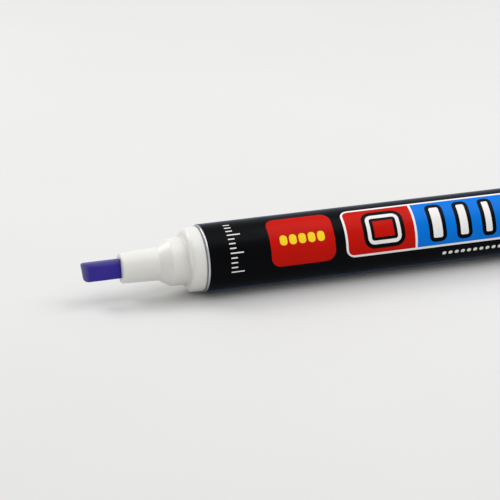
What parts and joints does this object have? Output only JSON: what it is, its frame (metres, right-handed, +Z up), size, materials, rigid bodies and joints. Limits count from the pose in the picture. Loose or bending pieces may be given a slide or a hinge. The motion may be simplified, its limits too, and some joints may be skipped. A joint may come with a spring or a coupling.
{
  "type": "felt tip marker",
  "caption": "Paint marker with a chisel felt tip at one end, a capped bullet tip at the other, spring valves behind both, and the spare cap posted on the tail.",
  "frame": {"origin": "on the surface the marker rests on, below the middle of its overall length", "axes": "+X along the marker from the bare chisel tip towards the posted cap, +Z up"},
  "size_m": [0.1847, 0.0182, 0.016],
  "materials": {
    "tube": "bright drawn tube with rolled ends",
    "label": "glossy printed film, black with coloured blocks",
    "divider": "moulded polypropylene",
    "seal": "nitrile rubber",
    "gasket": "dark grey flat gasket",
    "holder": "white moulded polypropylene, soft sheen",
    "valve": "moulded acetal",
    "spring": "stainless spring wire",
    "felt": "pressed polyester felt soaked with violet-blue paint",
    "cap": "moulded cap in the colour of the paint",
    "liner": "soft white polyethylene",
    "ball": "polished steel ball"
  },
  "bodies": {
    "barrel": {"barrel_tube": "tube", "barrel_label": "label", "chamber_divider": "divider", "divider_seals": "seal", "chisel_holder": "holder", "chisel_holder_gasket": "gasket", "chisel_valve_seat": "seal", "chisel_valve_cage": "valve", "chisel_valve_spring": "spring", "bullet_holder": "holder", "bullet_holder_gasket": "gasket", "bullet_valve_seat": "seal", "bullet_valve_cage": "valve", "bullet_valve_spring": "spring"},
    "chisel_plunger": {"chisel_nib": "felt", "chisel_valve_stem": "valve"},
    "bullet_plunger": {"bullet_nib": "felt", "bullet_valve_stem": "valve"},
    "bullet_cap": {"bullet_cap": "cap", "bullet_cap_liner": "liner"},
    "chisel_cap": {"chisel_cap": "cap", "chisel_cap_liner": "liner"},
    "chisel_ball": {"chisel_mixing_ball": "ball"},
    "bullet_ball": {"bullet_mixing_ball": "ball"}
  },
  "joints": [
    {"name": "chisel_nib_press", "type": "slide", "parent": "barrel", "child": "chisel_plunger", "axis": [1, 0, 0], "range_m": [0, 0.0012], "stiffness_N_per_m": 300, "springref_m": -0.002, "deforming": ["chisel_valve_spring"]},
    {"name": "bullet_nib_press", "type": "slide", "parent": "barrel", "child": "bullet_plunger", "axis": [-1, 0, 0], "range_m": [0, 0.0012], "stiffness_N_per_m": 300, "springref_m": -0.002, "deforming": ["bullet_valve_spring"]},
    {"name": "bullet_cap_pull", "type": "slide", "parent": "barrel", "child": "bullet_cap", "axis": [1, 0, 0], "range_m": [0, 0.03]},
    {"name": "chisel_cap_pull", "type": "slide", "parent": "bullet_cap", "child": "chisel_cap", "axis": [1, 0, 0], "range_m": [0, 0.015]},
    {"name": "chisel_ball_roll", "type": "slide", "parent": "barrel", "child": "chisel_ball", "axis": [1, 0, 0], "range_m": [0, 0.02]},
    {"name": "bullet_ball_roll", "type": "slide", "parent": "barrel", "child": "bullet_ball", "axis": [-1, 0, 0], "range_m": [0, 0.02]}
  ]
}
